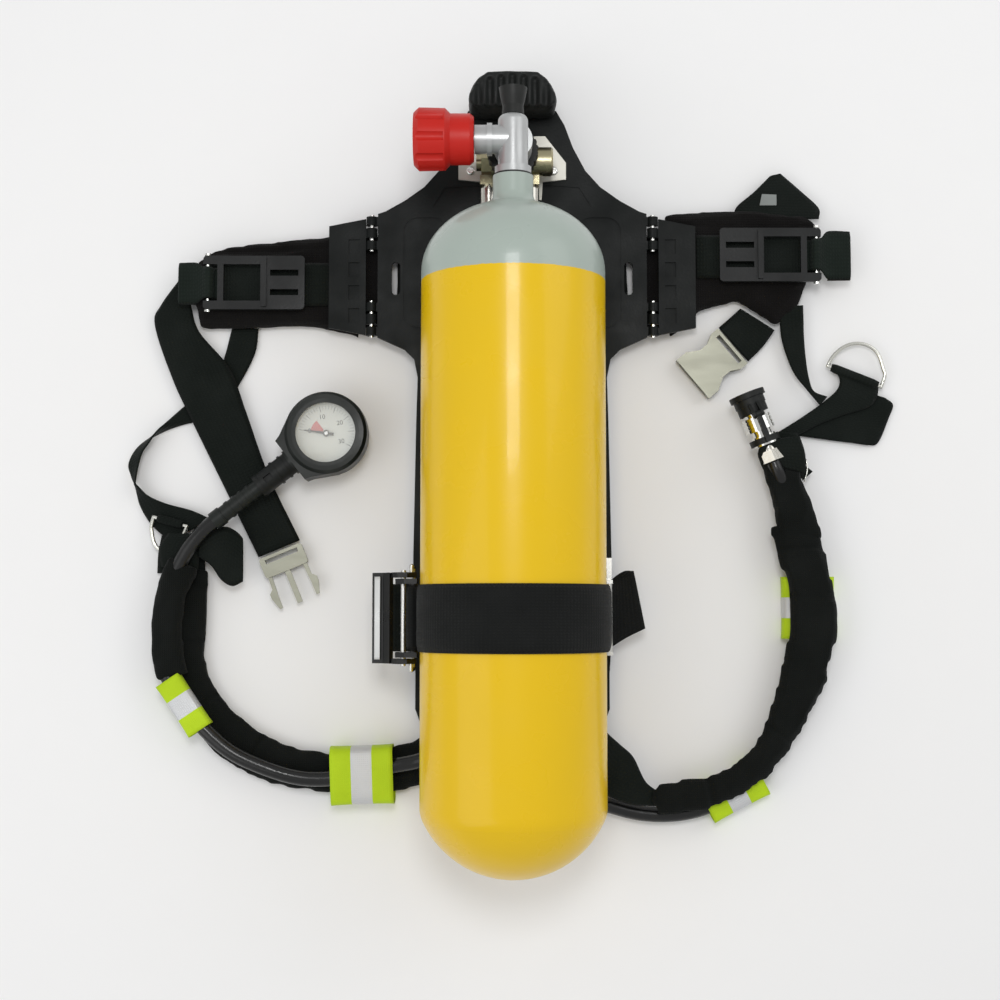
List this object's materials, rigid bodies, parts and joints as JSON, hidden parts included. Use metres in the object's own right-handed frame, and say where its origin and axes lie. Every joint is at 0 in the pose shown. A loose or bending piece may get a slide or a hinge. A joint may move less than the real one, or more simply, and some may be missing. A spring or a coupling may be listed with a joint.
{
  "type": "self-contained breathing apparatus",
  "caption": "Breathing-air pack: yellow steel cylinder with valve and pressure reducer on a moulded backplate, with padded harness, pressure gauge and supply coupler.",
  "frame": {"origin": "on the rest plane under the cylinder's axis, on the face of the backplate's spine rib", "axes": "+Z from the wearer's back towards the cylinder, +Y along the cylinder towards its valve, +X across the harness towards the supply coupler"},
  "size_m": [0.6255, 0.632, 0.1778],
  "materials": {
    "cylinder_paint": "gloss yellow enamel, grey shoulder",
    "seal_rubber": "black seal",
    "valve_chrome": "plated valve",
    "spindle_steel": "turned steel",
    "valve_seat_plug": "turned brass",
    "handwheel_red": "moulded red",
    "reducer_metal": "plated brass",
    "fitting_brass": "turned brass",
    "handwheel_black": "knurled black",
    "stainless": "stainless sheet",
    "plate_plastic": "moulded black composite",
    "moulded_rubber": "moulded black rubber",
    "padding_fabric": "black woven padding",
    "webbing": "black webbing",
    "buckle_plastic": "moulded black",
    "wire_steel": "steel wire",
    "hose_rubber": "smooth black hose",
    "hi_vis_fabric": "lime fabric with a silver reflective stripe",
    "nickel_buckle": "nickel plated",
    "gauge_metal": "steel case",
    "dial_white": "printed white dial",
    "gauge_glass": "clear lens",
    "needle_black": "black needle"
  },
  "bodies": {
    "pack_frame": {"cylinder_shell": "cylinder_paint", "neck_o_ring": "seal_rubber", "valve_body": "valve_chrome", "valve_end_cap": "seal_rubber", "reducer_body": "reducer_metal", "reducer_cap": "reducer_metal", "reducer_spring": "spindle_steel", "relief_valve": "fitting_brass", "reducer_bracket": "stainless", "hose_fittings": "fitting_brass", "backplate": "plate_plastic", "end_bumper": "moulded_rubber", "lumbar_pad": "padding_fabric", "cradle_pads": "moulded_rubber", "steel_pins_and_screws": "stainless", "cylinder_band": "webbing", "band_anchors": "stainless", "band_buckle_frame": "buckle_plastic", "left_shoulder_pad": "padding_fabric", "right_shoulder_pad": "padding_fabric", "gauge_hose": "hose_rubber", "supply_hose": "hose_rubber", "reflective_sleeves": "hi_vis_fabric", "shoulder_webbing": "webbing", "whistle_body": "gauge_metal", "gauge_bend_relief": "moulded_rubber", "coupler_body": "reducer_metal", "cap_tether": "moulded_rubber"},
    "valve_handwheel": {"valve_handwheel": "handwheel_red", "valve_stem": "spindle_steel"},
    "valve_plug": {"valve_plug": "valve_seat_plug"},
    "reducer_handwheel": {"reducer_handwheel": "handwheel_black", "coupling_nose": "reducer_metal"},
    "reducer_piston": {"reducer_piston": "spindle_steel"},
    "band_lever": {"band_lever": "buckle_plastic"},
    "band_bail": {"band_bail": "wire_steel"},
    "left_d_ring": {"left_d_ring": "wire_steel"},
    "right_d_ring": {"right_d_ring": "wire_steel"},
    "left_wing": {"left_hip_plate": "plate_plastic", "left_wing_pad": "padding_fabric", "left_wing_webbing": "webbing", "left_adjuster_pin": "stainless", "buckle_male_body": "nickel_buckle"},
    "right_wing": {"right_hip_plate": "plate_plastic", "right_wing_pad": "padding_fabric", "right_wing_webbing": "webbing", "right_adjuster_pin": "stainless", "buckle_female": "nickel_buckle"},
    "left_adjuster": {"left_adjuster": "buckle_plastic"},
    "right_adjuster": {"right_adjuster": "buckle_plastic"},
    "buckle_prong_left": {"buckle_prong_left": "nickel_buckle"},
    "buckle_prong_right": {"buckle_prong_right": "nickel_buckle"},
    "gauge_head": {"gauge_boot": "moulded_rubber", "gauge_case": "gauge_metal", "gauge_dial": "dial_white", "gauge_lens": "gauge_glass", "gauge_movement": "valve_seat_plug"},
    "gauge_needle": {"gauge_needle": "needle_black"},
    "coupler_sleeve": {"coupler_sleeve": "reducer_metal"},
    "dust_cap": {"dust_cap": "moulded_rubber"}
  },
  "joints": [
    {"name": "valve_handwheel_turn", "type": "hinge", "parent": "pack_frame", "child": "valve_handwheel", "pos_m": [0, 0.206, 0.105], "axis": [-1, 0, 0], "range_deg": [0, 810]},
    {"name": "valve_plug_travel", "type": "slide", "parent": "valve_handwheel", "child": "valve_plug", "axis": [-1, 0, 0], "range_m": [0, 0.0034]},
    {"name": "reducer_handwheel_turn", "type": "hinge", "parent": "pack_frame", "child": "reducer_handwheel", "pos_m": [0, 0.206, 0.07], "axis": [0, 0, -1], "range_deg": [0, 720]},
    {"name": "reducer_piston_travel", "type": "slide", "parent": "pack_frame", "child": "reducer_piston", "axis": [1, 0, 0], "range_m": [0, 0.002], "deforming": ["reducer_spring"]},
    {"name": "band_lever_open", "type": "hinge", "parent": "pack_frame", "child": "band_lever", "pos_m": [-0.084, -0.16, 0.08], "axis": [0, 1, 0], "range_deg": [0, 100]},
    {"name": "band_bail_swing", "type": "hinge", "parent": "band_lever", "child": "band_bail", "pos_m": [-0.078, -0.16, 0.078], "axis": [0, 1, 0], "range_deg": [-100, 0]},
    {"name": "left_d_ring_swing", "type": "hinge", "parent": "pack_frame", "child": "left_d_ring", "pos_m": [-0.2785, -0.082, 0.009], "axis": [-0.9615, 0.2747, 0], "range_deg": [0, 110]},
    {"name": "right_d_ring_swing", "type": "hinge", "parent": "pack_frame", "child": "right_d_ring", "pos_m": [0.281, 0.0375, 0.006], "axis": [0.9302, -0.3672, 0], "range_deg": [0, 120]},
    {"name": "left_wing_fold", "type": "hinge", "parent": "pack_frame", "child": "left_wing", "pos_m": [-0.115, 0.118, 0.016], "axis": [0, -1, 0], "range_deg": [0, 60]},
    {"name": "right_wing_fold", "type": "hinge", "parent": "pack_frame", "child": "right_wing", "pos_m": [0.115, 0.118, 0.016], "axis": [0, 1, 0], "range_deg": [0, 60]},
    {"name": "left_adjuster_lift", "type": "hinge", "parent": "left_wing", "child": "left_adjuster", "pos_m": [-0.248, 0.112, 0.022], "axis": [0, -1, 0], "range_deg": [0, 30]},
    {"name": "right_adjuster_lift", "type": "hinge", "parent": "right_wing", "child": "right_adjuster", "pos_m": [0.248, 0.135, 0.022], "axis": [0, 1, 0], "range_deg": [0, 30]},
    {"name": "buckle_prong_left_squeeze", "type": "hinge", "parent": "left_wing", "child": "buckle_prong_left", "pos_m": [-0.17002, -0.11315, 0.007], "axis": [0, 0, -1], "range_deg": [0, 7]},
    {"name": "buckle_prong_right_squeeze", "type": "hinge", "parent": "left_wing", "child": "buckle_prong_right", "pos_m": [-0.19775, -0.12458, 0.007], "axis": [0, 0, 1], "range_deg": [0, 7]},
    {"name": "gauge_swivel", "type": "hinge", "parent": "pack_frame", "child": "gauge_head", "pos_m": [-0.1494, -0.0123, 0.026], "axis": [-0.788, -0.6157, 0], "range_deg": [-170, 170]},
    {"name": "gauge_needle_sweep", "type": "hinge", "parent": "gauge_head", "child": "gauge_needle", "pos_m": [-0.1494, -0.0123, 0.026], "axis": [0, 0, -1], "range_deg": [0, 200]},
    {"name": "coupler_sleeve_pull", "type": "slide", "parent": "pack_frame", "child": "coupler_sleeve", "axis": [0.3649, -0.9311, 0], "range_m": [0, 0.004]},
    {"name": "dust_cap_flip", "type": "hinge", "parent": "pack_frame", "child": "dust_cap", "pos_m": [0.19588, 0.00228, 0.042], "axis": [0.9311, 0.3649, 0], "range_deg": [0, 150]}
  ],
  "couplings": [
    {"joint": "valve_plug_travel", "follows": "valve_handwheel_turn", "m_per_rad": 0.000239},
    {"joint": "band_bail_swing", "follows": "band_lever_open", "ratio": -1},
    {"joint": "buckle_prong_right_squeeze", "follows": "buckle_prong_left_squeeze", "ratio": 1}
  ]
}
